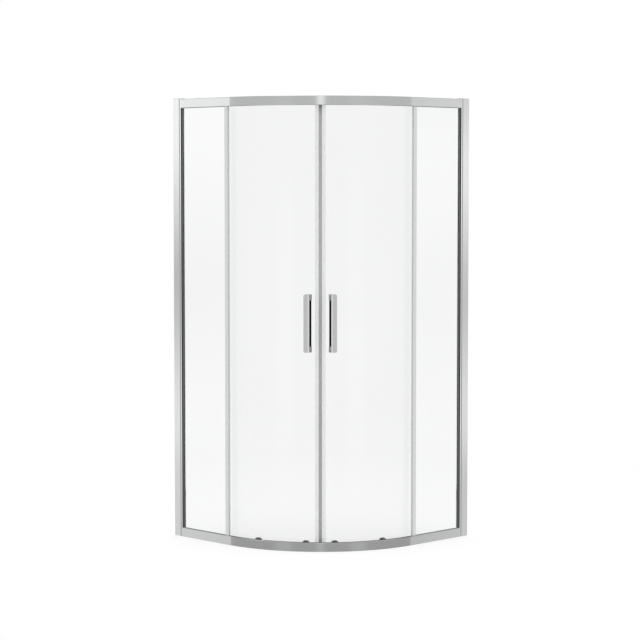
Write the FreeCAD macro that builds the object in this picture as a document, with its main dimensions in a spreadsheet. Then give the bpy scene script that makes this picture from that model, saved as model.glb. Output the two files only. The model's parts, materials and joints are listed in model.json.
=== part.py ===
import FreeCAD, Part
import math
import os
import re
import Sketcher

# Corner entry shower door: two fixed panes on the walls, a curved rail at the top and bottom,
# and two curved sliding doors that meet in the middle of the curve.

# Sizes in millimetres, angles in degrees
DIMENSIONS = {
    # Enclosure
    "panel_span": 361.5,
    "height": 1900,
    "curve_radius": 540,
    "fit_gap": 0.2,
    "curve_gap": 0.4,
    # Wall profile
    "profile_gauge": 1.5,
    "base_gauge": 2,
    "profile_reach": 30,
    "fixing_radius": 3,
    "fixing_inset": 150,
    "fixing_pitch_inner": 560,
    # Jamb and its cap
    "jamb_gauge": 1.6,
    "jamb_gap": 0.4,
    "jamb_tail": 12,
    "jamb_face": 48,
    "jamb_chamber": 10,
    "groove_lead": 1,
    "groove_width": 3.5,
    "groove_depth": 3,
    "tongue_slot": 4,
    "cap_gauge": 2.5,
    "cap_tongue_start": 3,
    "cap_tongue_reach": 8,
    "cap_tongue_depth": 8,
    "cap_tongue_inset": 1,
    # Rails
    "rail_depth": 24,
    "rail_height": 38.5,
    "rail_drop": 3,
    "rail_gauge": 2,
    "rail_bevel": 1.2,
    "track_level": 31,
    "track_lip": 3,
    "port_width": 6,
    "port_height": 5,
    "port_bore": 1.85,
    "pocket_width": 10,
    # Fixed panes and their seals
    "glass_gauge": 6,
    "pane_inset": 4,
    "pane_side_gap": 4,
    "pane_seat": 2.5,
    "gasket_width": 10,
    "gasket_wall": 2.3,
    "barb_depth": 1.2,
    "barb_reach": 0.9,
    "seal_lip": 1.5,
    "strip_width": 20,
    "strip_start": 16,
    "strip_wall": 1.3,
    "strip_end_wall": 2.3,
    "strip_fin": 15,
    "strip_round": 1,
    # Screws
    "screw_radius": 1.8,
    "screw_hole": 2.15,
    "screw_head": 3.6,
    "screw_head_length": 2.2,
    "screw_bevel": 0.7,
    "rail_screw_length": 30,
    "jamb_screw_length": 6,
    "jamb_screw_reach": 21,
    "jamb_screw_start": 120,
    "cover_radius": 6.5,
    "cover_height": 4,
    "cover_wall": 1.2,
    "cover_bevel": 1.6,
    # Opening stops
    "stop_offset": 117,
    "stop_length": 15,
    "stop_gap": 0.4,
    # Curved doors
    "door_gap": 6,
    "door_end_gap": 4,
    "glass_end_gap": 0.25,
    "door_rear_angle": 50.7,
    "front_roller_angle": 6.95,
    "rear_roller_angle": 31.5,
    # Meeting seal and its magnet
    "meeting_gap": 0.15,
    "chamber_width": 7.4,
    "seal_wall": 1,
    "nose_wall": 0.4,
    "clip_wall": 1.2,
    "clip_reach": 22,
    "clip_gap": 0.15,
    "clip_inner_gap": 0.65,
    # Rear seal of a door
    "edge_clip_reach": 9,
    "edge_wall": 1.5,
    "edge_fin": 5,
    # Wheels and axles
    "wheel_radius": 9.5,
    "wheel_width": 6,
    "wheel_inset": 9,
    "wheel_gap": 0.3,
    "wheel_crown": 1.2,
    "wheel_hub": 5.2,
    "wheel_rim": 7.6,
    "wheel_dish": 1,
    "axle_radius": 3,
    "running_gap": 0.05,
    "axle_head": 4.5,
    "axle_head_length": 1.5,
    "shoulder_radius": 4.5,
    "stem_radius": 4,
    "bush_radius": 8,
    "bush_flange": 11,
    "bush_flange_gauge": 1,
    "knob_radius": 11.5,
    "knob_length": 6,
    "knob_bevel": 1,
    "knob_socket": 3,
    "knob_socket_depth": 3,
    # Spring release of the bottom wheels
    "release_travel": 4,
    "housing_half": 14,
    "housing_low": 8,
    "housing_top": 37.5,
    "housing_wall": 1.6,
    "housing_cavity": 7,
    "housing_floor": 2,
    "housing_round": 2,
    "boss_radius": 7.6,
    "slot_half": 3.2,
    "slot_round": 3,
    "slider_half": 9,
    "slider_gap": 0.2,
    "slider_low": 16.5,
    "slider_top": 41.5,
    "spring_half": 8.4,
    "spring_crown_half": 3,
    "spring_gauge": 0.5,
    "spring_width": 5,
    # Handles
    "handle_angle": 5.75,
    "handle_level": 955,
    "handle_half_height": 120.5,
    "handle_half_width": 16,
    "handle_front_width": 23.5,
    "grip_bevel_width": 6,
    "grip_bevel_depth": 2.5,
    "handle_depth": 28,
    "handle_round": 6,
    "handle_edge_round": 1.2,
    "slot_margin": 24.5,
    "handle_wall": 5,
    "handle_plate": 4,
    "liner_wall": 1.8,
    "handle_bolt_inset": 12.5,
    "handle_bolt_radius": 3,
    "handle_bolt_depth": 12,
    "handle_bolt_gap": 0.1,
    "handle_hole_radius": 5,
    "back_half_width": 9,
    "back_depth": 6,
    "back_inset": 1.5,
    "back_head_radius": 5.5,
    "back_head_length": 2.5,
    "back_bevel": 0.8,
}

SIDES = {"left": 1, "right": -1}

doc = FreeCAD.newDocument("corner_shower_door")
sheet = doc.addObject("Spreadsheet::Sheet", "dims")
for row, (alias, value) in enumerate(DIMENSIONS.items(), start=1):
    sheet.set("A%d" % row, alias)
    sheet.set("B%d" % row, str(value))
    sheet.setAlias("B%d" % row, alias)
doc.recompute()

WORD = re.compile(r"[a-z][a-z_]*")
PARTS = {}

# Derived levels and lines
RAIL_TOP = "(height - rail_drop)"
WALL_SPAN = "(profile_gauge + panel_span + curve_radius)"
CURVE_CENTRE = "((panel_span - curve_radius - profile_gauge) / 2)"
DOOR_FACE = "(rail_depth + door_gap)"
DOOR_BACK = "(rail_depth + door_gap + glass_gauge)"
POCKET_END = "(rail_gauge + pocket_width)"
WEB_BACK = "(track_level + rail_gauge)"
PROFILE_TOP = "(height - cap_gauge - fit_gap)"
BOTTOM_AXLE = "(track_level - wheel_gap - wheel_radius)"
TOP_AXLE = "(height - rail_drop - track_level + wheel_gap + wheel_radius)"
DOOR_FRONT = ("asin((meeting_gap + chamber_width + seal_wall + glass_end_gap)"
              " / (curve_radius - rail_depth - door_gap - glass_gauge))")
BOSS_LEVEL = "(track_level - wheel_gap - wheel_radius - release_travel / 2)"
PORT_ONE = ("(rail_gauge + port_width / 2)", "(rail_gauge + port_height / 2 - fit_gap)")
PANE_END = "(panel_span - strip_start - strip_end_wall - fit_gap)"
PORT_TWO = ("(rail_depth - rail_gauge - port_width / 2)", PORT_ONE[1])


def bound(text):
    """The expression with every named size read from the sheet."""
    return WORD.sub(lambda m: "dims." + m.group() if m.group() in DIMENSIONS else m.group(), text)


def size(text):
    """The present value of an expression."""
    return float(sheet.evalExpression(bound(text)))


def minus(text):
    return "-(%s)" % text


# Sketch drawing
def toward(here, other):
    across = size(other[0]) - size(here[0])
    along = size(other[1]) - size(here[1])
    if abs(across) > abs(along):
        return (int(math.copysign(1, across)), 0)
    return (0, int(math.copysign(1, along)))


def shifted(text, sign, amount):
    if sign == 0:
        return text
    return "%s %s (%s)" % (text, "+" if sign > 0 else "-", amount)


def points_of(corners):
    """Points with the edge that leaves each; a text third value rounds a square corner, a list bevels it."""
    points = []
    for index, corner in enumerate(corners):
        if len(corner) == 2:
            points.append((corner[0], corner[1], None))
        elif isinstance(corner[2], tuple):
            points.append(corner)
        else:
            back = toward(corner, corners[index - 1])
            ahead = toward(corner, corners[(index + 1) % len(corners)])
            turn = 1 if back[1] * ahead[0] - back[0] * ahead[1] > 0 else -1
            bevel = isinstance(corner[2], list)
            radius = corner[2][0] if bevel else corner[2]
            points.append((shifted(corner[0], back[0], radius), shifted(corner[1], back[1], radius),
                           None if bevel else (radius, turn)))
            points.append((shifted(corner[0], ahead[0], radius),
                           shifted(corner[1], ahead[1], radius), None))
    return points


def hold(sketch, geometry, spot, x_text, y_text):
    """Both coordinates of one sketch point, each bound to its expression."""
    for kind, axis, text in (("DistanceX", -2, x_text), ("DistanceY", -1, y_text)):
        value = size(text)
        if abs(value) < 1e-9:
            sketch.addConstraint(Sketcher.Constraint("PointOnObject", geometry, spot, axis))
            continue
        index = sketch.addConstraint(Sketcher.Constraint(kind, -1, 1, geometry, spot, value))
        sketch.setExpression("Constraints[%d]" % index, bound(text))


def hold_radius(sketch, geometry, text):
    index = sketch.addConstraint(Sketcher.Constraint("Radius", geometry, size(text)))
    sketch.setExpression("Constraints[%d]" % index, bound(text))


def arc_between(start, end, radius, turn):
    chord_x = end[0] - start[0]
    chord_y = end[1] - start[1]
    chord = math.hypot(chord_x, chord_y)
    rise = math.sqrt(max(radius * radius - chord * chord / 4, 0))
    centre = ((start[0] + end[0]) / 2 - turn * rise * chord_y / chord,
              (start[1] + end[1]) / 2 + turn * rise * chord_x / chord)
    first, last = (start, end) if turn > 0 else (end, start)
    low = math.atan2(first[1] - centre[1], first[0] - centre[0])
    high = math.atan2(last[1] - centre[1], last[0] - centre[0])
    if high < low:
        high += 2 * math.pi
    circle = Part.Circle(FreeCAD.Vector(centre[0], centre[1], 0), FreeCAD.Vector(0, 0, 1), radius)
    return Part.ArcOfCircle(circle, low, high)


def draw(sketch, corners):
    """One closed outline of lines and arcs with every point bound."""
    points = points_of(corners)
    values = [(size(point[0]), size(point[1])) for point in points]
    edges = []
    spans = len(points)
    for index in range(spans):
        start = values[index]
        end = values[(index + 1) % spans]
        bend = points[index][2]
        if bend is None:
            line = Part.LineSegment(FreeCAD.Vector(start[0], start[1], 0), FreeCAD.Vector(end[0], end[1], 0))
            edges.append((sketch.addGeometry(line, False), 1, 2))
        else:
            arc = arc_between(start, end, size(bend[0]), bend[1])
            ends = (1, 2) if bend[1] > 0 else (2, 1)
            edges.append((sketch.addGeometry(arc, False),) + ends)
    for index in range(spans):
        edge = edges[index]
        following = edges[(index + 1) % spans]
        sketch.addConstraint(Sketcher.Constraint("Coincident", edge[0], edge[2], following[0], following[1]))
    for index in range(spans):
        hold(sketch, edges[index][0], edges[index][1], points[index][0], points[index][1])
    for index in range(spans):
        if points[index][2] is not None:
            hold_radius(sketch, edges[index][0], points[index][2][0])


def ring(sketch, x_text, y_text, radius):
    centre = FreeCAD.Vector(size(x_text), size(y_text), 0)
    circle = Part.Circle(centre, FreeCAD.Vector(0, 0, 1), size(radius))
    geometry = sketch.addGeometry(circle, False)
    hold(sketch, geometry, 3, x_text, y_text)
    hold_radius(sketch, geometry, radius)


# Bodies and features
def new_body(label, keep=True):
    body = doc.addObject("PartDesign::Body", label)
    body.Label = label
    if keep:
        PARTS[label] = body
    return body


def layer(body, role, offset="0"):
    """A sketch on one of the body's own planes, moved along that plane's normal."""
    sketch = body.newObject("Sketcher::SketchObject", body.Name + "_sketch")
    plane = [item for item in body.Origin.OriginFeatures if item.Role == role][0]
    sketch.AttachmentSupport = (plane, [""])
    sketch.MapMode = "FlatFace"
    if offset != "0":
        sketch.setExpression("AttachmentOffset.Base.z", bound(offset))
    return sketch


def level_sketch(body, loops, circles, offset):
    sketch = layer(body, "XY_Plane", offset)
    for loop in loops:
        draw(sketch, loop)
    for circle in circles:
        ring(sketch, *circle)
    return sketch


def extrude(body, loops, low, high, circles=()):
    """Outlines in plan raised from one level to another."""
    feature = body.newObject("PartDesign::Pad", body.Name + "_pad")
    feature.Profile = level_sketch(body, loops, circles, low)
    feature.setExpression("Length", bound("%s - (%s)" % (high, low)))
    body.Tip = feature
    return feature


def hollow(body, loops, low, high, circles=()):
    """Outlines in plan cut away between two levels."""
    doc.recompute()
    before = body.Shape.Volume
    feature = body.newObject("PartDesign::Pocket", body.Name + "_pocket")
    feature.Profile = level_sketch(body, loops, circles, high)
    feature.setExpression("Length", bound("%s - (%s)" % (high, low)))
    body.Tip = feature
    doc.recompute()
    if body.Shape.Volume > before - 1e-6:
        raise RuntimeError("nothing cut from " + body.Label)
    return feature


def drill(body, role, offset, length, circles=(), loops=()):
    """Holes or slots cut evenly to both sides of an upright plane."""
    doc.recompute()
    before = body.Shape.Volume
    sketch = layer(body, role, offset)
    for circle in circles:
        ring(sketch, *circle)
    for loop in loops:
        draw(sketch, loop)
    feature = body.newObject("PartDesign::Pocket", body.Name + "_hole")
    feature.Profile = sketch
    feature.Midplane = True
    feature.setExpression("Length", bound(length))
    body.Tip = feature
    doc.recompute()
    if body.Shape.Volume > before - 1e-6:
        raise RuntimeError("nothing drilled from " + body.Label)
    return feature


def turned(body, outline, offset, axis="V_Axis"):
    """An outline in plan spun about the sketch's own axis."""
    sketch = level_sketch(body, [outline], (), offset)
    feature = body.newObject("PartDesign::Revolution", body.Name + "_turn")
    feature.Profile = sketch
    feature.ReferenceAxis = (sketch, [axis])
    feature.Angle = 360
    body.Tip = feature
    return feature


def rounded_edges(body, choose, radius):
    """A fillet on the edges that the test picks."""
    doc.recompute()
    tip = body.Tip
    names = []
    for index, edge in enumerate(tip.Shape.Edges, start=1):
        if choose(edge):
            names.append("Edge%d" % index)
    feature = body.newObject("PartDesign::Fillet", body.Name + "_round")
    feature.Base = (tip, names)
    feature.setExpression("Radius", bound(radius))
    body.Tip = feature
    return feature


def group(label, members):
    compound = doc.addObject("Part::Compound", label)
    compound.Label = label
    compound.Links = members
    PARTS[label] = compound
    return compound


# Frames: a panel frame has x along the wall panel and y into the room,
# a curve frame has its origin at the centre of the curve and y outward at a chosen angle
def in_panel(item, side):
    if side > 0:
        base = "vector(-%s / 2; -%s / 2 + profile_gauge; 0)" % (WALL_SPAN, WALL_SPAN)
        angle = "0"
    else:
        base = "vector(%s / 2 - profile_gauge; %s / 2; 0)" % (WALL_SPAN, WALL_SPAN)
        angle = "270"
    item.setExpression("Placement", bound("placement(%s; rotation(vector(0; 0; 1); %s))" % (base, angle)))


def in_curve(item, side, angle="0"):
    base = "vector(%s; -%s; 0)" % (CURVE_CENTRE, CURVE_CENTRE)
    turn = "225 - %d * (%s)" % (side, angle)
    item.setExpression("Placement", bound("placement(%s; rotation(vector(0; 0; 1); %s))" % (base, turn)))


def flip(side, corners):
    """Panel outlines: the second coordinate runs into the room on both sides."""
    if side > 0:
        return corners
    out = []
    for corner in corners:
        out.append((corner[0], minus(corner[1])) + tuple(corner[2:]))
    return out


def across(side, corners):
    """Curve outlines: distance from the middle, and depth inward from the rail's face."""
    out = []
    for corner in corners:
        first = corner[0] if side > 0 else minus(corner[0])
        out.append((first, "curve_radius - (%s)" % corner[1]) + tuple(corner[2:]))
    return out


def box(x_low, y_low, x_high, y_high, radius=None):
    corners = [(x_low, y_low), (x_high, y_low), (x_high, y_high), (x_low, y_high)]
    if radius is None:
        return corners
    return [corner + (radius,) for corner in corners]


# Wall profile: a channel screwed to the wall
def wall_profile(name, side):
    body = new_body("wall_profile_" + name)
    near = minus("profile_gauge")
    far = "(rail_depth + profile_gauge)"
    outline = [("0", near), ("profile_reach", near), ("profile_reach", "0"), ("base_gauge", "0"),
               ("base_gauge", "rail_depth"), ("profile_reach", "rail_depth"), ("profile_reach", far),
               ("0", far)]
    extrude(body, [flip(side, outline)], "0", PROFILE_TOP)
    middle = "rail_depth / 2" if side > 0 else "-rail_depth / 2"
    holes = []
    for pitch in ("(height - 2 * fixing_inset)", "fixing_pitch_inner"):
        for sign in ("+", "-"):
            holes.append((middle, "height / 2 %s %s / 2" % (sign, pitch), "fixing_radius"))
    drill(body, "YZ_Plane", "base_gauge / 2", "base_gauge * 2", holes)
    flange = "rail_depth + profile_gauge / 2"
    drill(body, "XZ_Plane", minus(flange) if side > 0 else flange, "profile_gauge * 2", jamb_screw_spots())
    in_panel(body, side)


def jamb_screw_spots():
    spots = []
    for step in range(4):
        spots.append(("jamb_screw_reach", jamb_screw_level(step), "screw_hole"))
    return spots


def jamb_screw_level(step):
    return "(jamb_screw_start + (height - 2 * jamb_screw_start) * %d / 3)" % step


# Jamb: slides inside the wall profile with a shadow groove at its edge, and carries rails and gasket
def jamb(name, side):
    body = new_body("jamb_" + name)
    near = "jamb_gap"
    far = "(rail_depth - jamb_gap)"
    inner_near = "(jamb_gap + jamb_gauge)"
    inner_far = "(rail_depth - jamb_gap - jamb_gauge)"
    web = "(jamb_face - jamb_chamber)"
    slot_low = "(pane_inset + glass_gauge / 2 - tongue_slot / 2)"
    slot_high = "(pane_inset + glass_gauge / 2 + tongue_slot / 2)"
    groove = "(profile_reach - groove_lead)"
    groove_end = "(profile_reach + groove_width)"
    outline = [("jamb_tail", near), (groove, near), (groove, near + " + groove_depth"),
               (groove_end, near + " + groove_depth"), (groove_end, near), ("jamb_face", near),
               ("jamb_face", slot_low),
               ("jamb_face - jamb_gauge", slot_low), ("jamb_face - jamb_gauge", inner_near),
               (web + " + jamb_gauge", inner_near), (web + " + jamb_gauge", inner_far),
               ("jamb_face - jamb_gauge", inner_far), ("jamb_face - jamb_gauge", slot_high),
               ("jamb_face", slot_high), ("jamb_face", far), ("jamb_tail", far), ("jamb_tail", inner_far),
               (web, inner_far), (web, inner_near), (groove_end + " + jamb_gauge", inner_near),
               (groove_end + " + jamb_gauge", inner_near + " + groove_depth"),
               (groove + " - jamb_gauge", inner_near + " + groove_depth"),
               (groove + " - jamb_gauge", inner_near), ("jamb_tail", inner_near)]
    extrude(body, [flip(side, outline)], "0", PROFILE_TOP)
    holes = []
    for port in (PORT_ONE, PORT_TWO):
        depth = port[0] if side > 0 else minus(port[0])
        holes.append((depth, port[1], "screw_hole"))
        holes.append((depth, RAIL_TOP + " - " + port[1], "screw_hole"))
    drill(body, "YZ_Plane", "jamb_face - jamb_chamber / 2", "jamb_chamber * 2", holes)
    flange = "rail_depth - jamb_gap - jamb_gauge / 2"
    drill(body, "XZ_Plane", minus(flange) if side > 0 else flange, "jamb_gauge * 2", jamb_screw_spots())
    in_panel(body, side)


def jamb_cap(name, side):
    body = new_body("jamb_cap_" + name)
    near = minus("profile_gauge")
    far = "(rail_depth + profile_gauge)"
    extrude(body, [flip(side, box("0", near, "jamb_face", far))], "height - cap_gauge", "height")
    tongue = box("cap_tongue_start", "cap_tongue_inset", "cap_tongue_start + cap_tongue_reach",
                 "rail_depth - cap_tongue_inset")
    extrude(body, [flip(side, tongue)], "height - cap_gauge - cap_tongue_depth", "height - cap_gauge")
    in_panel(body, side)


# Rails: one extrusion bent along the corner, used upright at the bottom and turned over at the top
def rail(label, level):
    body = new_body(label)
    block = "rail_gauge + port_height"
    section = [("0", "0", ["rail_bevel"]), ("rail_depth", "0"), ("rail_depth", block),
               *screw_port(PORT_TWO, block),
               ("rail_depth - rail_gauge - port_width", block),
               ("rail_depth - rail_gauge - port_width", "rail_gauge"),
               ("rail_gauge + port_width", "rail_gauge"), ("rail_gauge + port_width", block),
               *screw_port(PORT_ONE, block), ("rail_gauge", block), ("rail_gauge", "track_level"),
               ("rail_depth - rail_gauge", "track_level"),
               ("rail_depth - rail_gauge", "track_level - track_lip"),
               ("rail_depth", "track_level - track_lip"),
               ("rail_depth", WEB_BACK), (POCKET_END + " + rail_gauge", WEB_BACK),
               (POCKET_END + " + rail_gauge", "rail_height"), (POCKET_END, "rail_height"),
               (POCKET_END, WEB_BACK),
               ("rail_gauge", WEB_BACK), ("rail_gauge", "rail_height"), ("0", "rail_height", ["rail_bevel"])]
    profile = rail_section(body, "YZ_Plane", section, level, "%s - curve_radius")
    bend = body.newObject("PartDesign::Revolution", body.Name + "_bend")
    bend.Profile = profile
    bend.ReferenceAxis = (profile, ["V_Axis"])
    bend.Angle = 90
    for plane, across_text in (("YZ_Plane", "%s - curve_radius"), ("XZ_Plane", "curve_radius - (%s)")):
        run = body.newObject("PartDesign::Pad", body.Name + "_run")
        run.Profile = rail_section(body, plane, section, level, across_text)
        run.Reversed = True
        run.setExpression("Length", bound("panel_span - jamb_face - fit_gap"))
        body.Tip = run
    body.setExpression("Placement.Base.x", bound(CURVE_CENTRE))
    body.setExpression("Placement.Base.y", bound(minus(CURVE_CENTRE)))


def screw_port(port, top):
    """An open channel for a screw along the extrusion."""
    near = port[0] + " - port_bore"
    far = port[0] + " + port_bore"
    root = port[1] + " - port_bore"
    return [(far, top), (far, root), (near, root), (near, top)]


def rail_section(body, plane, section, level, across_text):
    sketch = layer(body, plane)
    draw(sketch, [(across_text % corner[0], level(corner[1])) + corner[2:] for corner in section])
    return sketch


def upright(text):
    return text


def hung(text):
    return "height - rail_drop - (%s)" % text


# Fixed pane with its gasket, rail seals and edge strip
def fixed_glass(name, side):
    body = new_body("fixed_glass_" + name)
    pane = box("jamb_face + pane_side_gap", "pane_inset", PANE_END, "pane_inset + glass_gauge")
    extrude(body, [flip(side, pane)], WEB_BACK + " + pane_seat", RAIL_TOP + " - " + WEB_BACK + " - pane_seat")
    in_panel(body, side)


def glazing_gasket(name, side):
    body = new_body("glazing_gasket_" + name)
    middle = "(pane_inset + glass_gauge / 2)"
    half = "(glass_gauge / 2 + fit_gap / 2)"
    outer_half = "(glass_gauge / 2 + gasket_wall)"
    tongue = "(tongue_slot / 2 - fit_gap)"
    root = "(jamb_face + fit_gap)"
    tip = "(jamb_face + gasket_width)"
    seat = "(jamb_face + pane_side_gap - fit_gap)"
    neck = "(jamb_face - jamb_gauge - fit_gap)"
    barb = "(tongue_slot / 2 + barb_reach)"
    outline = [(root, middle + " - " + outer_half), (tip, middle + " - " + outer_half),
               (tip, middle + " - " + half), (seat, middle + " - " + half), (seat, middle + " + " + half),
               (tip, middle + " + " + half), (tip, middle + " + " + outer_half),
               (root, middle + " + " + outer_half),
               (root, middle + " + " + tongue), (neck, middle + " + " + tongue),
               (neck, middle + " + " + barb),
               (neck + " - barb_depth", middle + " + " + barb),
               (neck + " - barb_depth", middle + " - " + barb),
               (neck, middle + " - " + barb), (neck, middle + " - " + tongue),
               (root, middle + " - " + tongue)]
    low = "rail_height + seal_lip + fit_gap"
    extrude(body, [flip(side, outline)], low, RAIL_TOP + " - rail_height - seal_lip - fit_gap")
    in_panel(body, side)


def rail_seal(label, level):
    members = []
    for name, side in SIDES.items():
        body = new_body("seal_run_" + label + "_" + name, keep=False)
        sketch = layer(body, "YZ_Plane", "jamb_face + gasket_width + curve_gap")
        low = WEB_BACK + " + fit_gap"
        top = "rail_height + seal_lip"
        seat = WEB_BACK + " + pane_seat - fit_gap"
        near = "(rail_gauge + fit_gap)"
        far = "(rail_gauge + pocket_width - fit_gap)"
        glass_near = "(pane_inset - fit_gap / 2)"
        glass_far = "(pane_inset + glass_gauge + fit_gap / 2)"
        outline = [(near, low), (far, low), (far, top), (glass_far, top), (glass_far, seat),
                   (glass_near, seat),
                   (glass_near, top), (near, top)]
        sign = "" if side > 0 else "-"
        draw(sketch, [(sign + corner[0], level(corner[1])) for corner in outline])
        feature = body.newObject("PartDesign::Pad", body.Name + "_pad")
        feature.Profile = sketch
        length = "panel_span - strip_start - strip_width - jamb_face - gasket_width - 2 * curve_gap"
        feature.setExpression("Length", bound(length))
        body.Tip = feature
        in_panel(body, side)
        members.append(body)
    group("rail_seals_" + label, members)


def edge_strip(name, side):
    body = new_body("fixed_edge_strip_" + name)
    end = "panel_span - strip_start"
    start = "panel_span - strip_start - strip_width"
    near = "(pane_inset - fit_gap - strip_wall)"
    far = "(pane_inset + glass_gauge + fit_gap + strip_wall)"
    glass_near = "(pane_inset - fit_gap)"
    glass_far = "(pane_inset + glass_gauge + fit_gap)"
    fin = "(pane_inset + glass_gauge + fit_gap + strip_wall + strip_fin)"
    outline = [(start, near, "strip_round"), (end, near, "strip_round"), (end, far),
               (start + " + strip_wall", far),
               (start + " + strip_wall", fin), (start, fin), (start, glass_far),
               (PANE_END + " + fit_gap", glass_far),
               (PANE_END + " + fit_gap", glass_near), (start, glass_near)]
    extrude(body, [flip(side, outline)], "rail_height + fit_gap", RAIL_TOP + " - rail_height - fit_gap")
    in_panel(body, side)


# Screws through the jamb into the rails' screw ports
def rail_screws():
    members = []
    for name, side in SIDES.items():
        for port in (PORT_ONE, PORT_TWO):
            for end, level in (("low", upright), ("high", hung)):
                body = new_body("rail_screw_" + name + end + str(len(members)), keep=False)
                web = "jamb_face - jamb_chamber - fit_gap"
                head = "port_width / 2 - fit_gap"
                outline = [(web + " - screw_head_length", "0"),
                           (web + " - screw_head_length", head, ["screw_bevel"]),
                           (web, head), (web, "screw_radius"), (web + " + rail_screw_length", "screw_radius"),
                           (web + " + rail_screw_length", "0")]
                sketch = level_sketch(body, [outline], (), level(port[1]))
                feature = body.newObject("PartDesign::Revolution", body.Name + "_turn")
                feature.Profile = sketch
                feature.ReferenceAxis = (sketch, ["H_Axis"])
                feature.Angle = 360
                body.Tip = feature
                depth = port[0]
                if side > 0:
                    base = "vector(-%s / 2; -%s / 2 + profile_gauge + %s; 0)" % (WALL_SPAN, WALL_SPAN, depth)
                    angle = "0"
                else:
                    base = "vector(%s / 2 - profile_gauge - %s; %s / 2; 0)" % (WALL_SPAN, depth, WALL_SPAN)
                    angle = "270"
                text = "placement(%s; rotation(vector(0; 0; 1); %s))" % (base, angle)
                body.setExpression("Placement", bound(text))
                members.append(body)
    group("rail_screws", members)


# Adjusting screws between the wall profile and the jamb, and their covers
def jamb_fasteners(label, outline):
    members = []
    for name, side in SIDES.items():
        for step in range(4):
            body = new_body(label + "_one_" + name + str(step), keep=False)
            turned(body, outline, jamb_screw_level(step))
            if side > 0:
                base = "vector(-%s / 2 + jamb_screw_reach; -%s / 2 + profile_gauge; 0)"
                angle = "0"
            else:
                base = "vector(%s / 2 - profile_gauge; %s / 2 - jamb_screw_reach; 0)"
                angle = "90"
            base = base % (WALL_SPAN, WALL_SPAN)
            text = "placement(%s; rotation(vector(0; 0; 1); %s))" % (base, angle)
            body.setExpression("Placement", bound(text))
            members.append(body)
    group(label, members)


def screw_outline():
    seat = "rail_depth + profile_gauge + fit_gap"
    return [("0", seat + " - jamb_screw_length"), ("screw_radius", seat + " - jamb_screw_length"),
            ("screw_radius", seat), ("screw_head", seat),
            ("screw_head", seat + " + screw_head_length", ["screw_bevel"]),
            ("0", seat + " + screw_head_length")]


def cover_outline():
    seat = "rail_depth + profile_gauge + fit_gap"
    inner = "cover_radius - cover_wall"
    return [(inner, seat), ("cover_radius", seat),
            ("cover_radius", seat + " + cover_height", ["cover_bevel"]),
            ("0", seat + " + cover_height"), ("0", seat + " + cover_height - cover_wall"),
            (inner, seat + " + cover_height - cover_wall")]


# Rubber stops in the top rail that end each door's travel
def open_stops():
    members = []
    for name, side in SIDES.items():
        body = new_body("open_stop_" + name, keep=False)
        block = box("panel_span - stop_offset - stop_length", "rail_gauge + stop_gap",
                    "panel_span - stop_offset", "rail_depth - rail_gauge - stop_gap")
        extrude(body, [flip(side, block)], RAIL_TOP + " - track_level + stop_gap",
                RAIL_TOP + " - rail_gauge - port_height - stop_gap")
        in_panel(body, side)
        members.append(body)
    group("open_stops", members)


# Curved door glass with the holes for its rollers and handle
def door_glass(name, side):
    body = new_body("door_glass_" + name)
    outer = "(curve_radius - %s)" % DOOR_FACE
    inner = "(curve_radius - %s)" % DOOR_BACK
    sign = "" if side > 0 else "-"
    corners = []
    for radius, angle in ((outer, DOOR_FRONT), (outer, "door_rear_angle"),
                          (inner, "door_rear_angle"), (inner, DOOR_FRONT)):
        corners.append((sign + radius + " * sin(" + angle + ")", radius + " * cos(" + angle + ")"))
    corners[0] = corners[0] + ((outer, -side),)
    corners[2] = corners[2] + ((inner, side),)
    extrude(body, [corners], "door_end_gap", RAIL_TOP + " - door_end_gap")
    in_curve(body, side)
    for angle in ("front_roller_angle", "rear_roller_angle"):
        glass_hole(body, side, angle, "0", BOSS_LEVEL, "bush_radius + fit_gap")
        glass_hole(body, side, angle, "0", TOP_AXLE, "bush_radius + fit_gap")
    for level in HANDLE_BOLTS:
        glass_hole(body, side, "handle_angle", "0", level, "handle_hole_radius")


def glass_hole(body, side, angle, shift, level, radius):
    """A round hole whose axis points at the centre of the curve."""
    doc.recompute()
    before = body.Shape.Volume
    sketch = body.newObject("Sketcher::SketchObject", body.Name + "_hole_sketch")
    plane = [item for item in body.Origin.OriginFeatures if item.Role == "XZ_Plane"][0]
    sketch.AttachmentSupport = (plane, [""])
    sketch.MapMode = "FlatFace"
    middle = "(curve_radius - rail_depth - door_gap - glass_gauge / 2)"
    turn = "%d * (%s)" % (-side, angle)
    offset = "placement(vector(%d * %s * sin(%s); 0; -%s * cos(%s)); rotation(vector(0; 1; 0); %s))"
    offset = offset % (side, middle, angle, middle, angle, turn)
    sketch.setExpression("AttachmentOffset", bound(offset))
    ring(sketch, shift, level, radius)
    feature = body.newObject("PartDesign::Pocket", body.Name + "_hole")
    feature.Profile = sketch
    feature.Midplane = True
    feature.setExpression("Length", bound("glass_gauge * 2"))
    body.Tip = feature
    doc.recompute()
    expected = math.pi * size(radius) ** 2 * size("glass_gauge")
    if abs(before - body.Shape.Volume - expected) > expected * 0.05:
        raise RuntimeError("glass hole missed in " + body.Label)


# Magnetic seal on the closing edge, with the magnet inside its chamber
SEAL_FACE = DOOR_FACE + " - clip_gap - clip_wall"
SEAL_BACK = DOOR_BACK + " + clip_inner_gap + clip_wall"


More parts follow.
